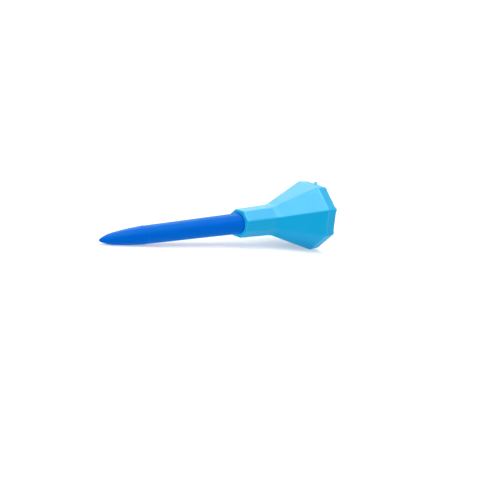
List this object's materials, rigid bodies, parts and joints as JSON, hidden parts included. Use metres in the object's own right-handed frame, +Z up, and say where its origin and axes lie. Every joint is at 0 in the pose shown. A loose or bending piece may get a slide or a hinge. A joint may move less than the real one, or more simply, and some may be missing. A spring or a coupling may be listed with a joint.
{
  "type": "golf tee",
  "caption": "Moulded plastic golf tee: smooth drafted stem with a rounded point, and a soft faceted crown with ball nubs round a cup.",
  "frame": {"origin": "centre of the footprint, on the ground that the tee lies on", "axes": "+X along the tee on the ground towards the crown, +Z up; the tee's own axis rises 5.9 degrees towards the crown, because the tee rests on its point and on the lowest shoulder edge of the crown"},
  "size_m": [0.083, 0.0186, 0.0193],
  "materials": {
    "shank_plastic": "hard moulded plastic, solid blue, smooth satin gloss",
    "crown_elastomer": "soft overmoulded elastomer, slightly translucent sky blue, satin"
  },
  "bodies": {
    "root": {"shank": "shank_plastic", "crown": "crown_elastomer"}
  },
  "joints": []
}
